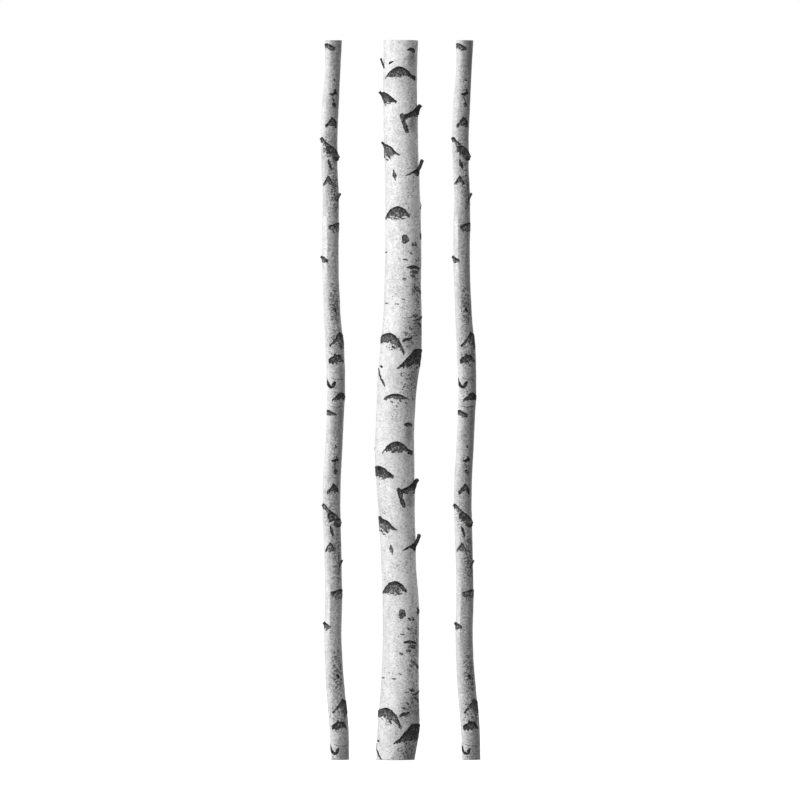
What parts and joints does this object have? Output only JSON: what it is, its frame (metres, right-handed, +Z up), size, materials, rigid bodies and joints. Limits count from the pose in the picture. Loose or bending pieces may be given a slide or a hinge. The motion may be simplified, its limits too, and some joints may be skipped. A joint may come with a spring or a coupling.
{
  "type": "set of natural birch poles",
  "caption": "Natural birch poles in a row, a thick one between slimmer ones, with white bark, dark branch scars and dead twig stubs, sawn square so that each stands on end.",
  "frame": {"origin": "centre of the thick pole's sawn foot, on the plane that all the poles stand on", "axes": "+Z up along the poles, +X along the row to the right as seen from the front, +Y away from the front"},
  "size_m": [0.4488, 0.1298, 2],
  "materials": {
    "outer_bark": "white papery birch bark, matt, with dark flecks",
    "inner_bark": "brown fibrous inner bark, matt",
    "wood": "pale sawn end grain, matt",
    "branch_scar": "black cracked corky bark, matt",
    "twig_stub": "weathered grey dead twig, matt"
  },
  "bodies": {
    "thick_pole": {"thick_wood": "wood", "thick_inner_bark": "inner_bark", "thick_outer_bark": "outer_bark", "thick_branch_scars": "branch_scar", "thick_twig_stub_1": "twig_stub", "thick_twig_stub_2": "twig_stub", "thick_twig_stub_3": "twig_stub", "thick_twig_stub_4": "twig_stub", "thick_twig_stub_5": "twig_stub", "thick_twig_stub_6": "twig_stub", "thick_twig_stub_7": "twig_stub", "thick_twig_stub_8": "twig_stub", "thick_twig_stub_9": "twig_stub"},
    "slim_pole_left": {"slim_left_wood": "wood", "slim_left_inner_bark": "inner_bark", "slim_left_outer_bark": "outer_bark", "slim_left_branch_scars": "branch_scar", "slim_left_twig_stub_1": "twig_stub", "slim_left_twig_stub_2": "twig_stub", "slim_left_twig_stub_3": "twig_stub", "slim_left_twig_stub_4": "twig_stub", "slim_left_twig_stub_5": "twig_stub", "slim_left_twig_stub_6": "twig_stub", "slim_left_twig_stub_7": "twig_stub", "slim_left_twig_stub_8": "twig_stub"},
    "slim_pole_right": {"slim_right_wood": "wood", "slim_right_inner_bark": "inner_bark", "slim_right_outer_bark": "outer_bark", "slim_right_branch_scars": "branch_scar", "slim_right_twig_stub_1": "twig_stub", "slim_right_twig_stub_2": "twig_stub", "slim_right_twig_stub_3": "twig_stub", "slim_right_twig_stub_4": "twig_stub", "slim_right_twig_stub_5": "twig_stub", "slim_right_twig_stub_6": "twig_stub", "slim_right_twig_stub_7": "twig_stub", "slim_right_twig_stub_8": "twig_stub"}
  },
  "joints": [
    {"name": "slim_left_lift", "type": "slide", "parent": "thick_pole", "child": "slim_pole_left", "axis": [0, 0, 1], "range_m": [0, 0.3]},
    {"name": "slim_right_lift", "type": "slide", "parent": "thick_pole", "child": "slim_pole_right", "axis": [0, 0, 1], "range_m": [0, 0.3]}
  ]
}
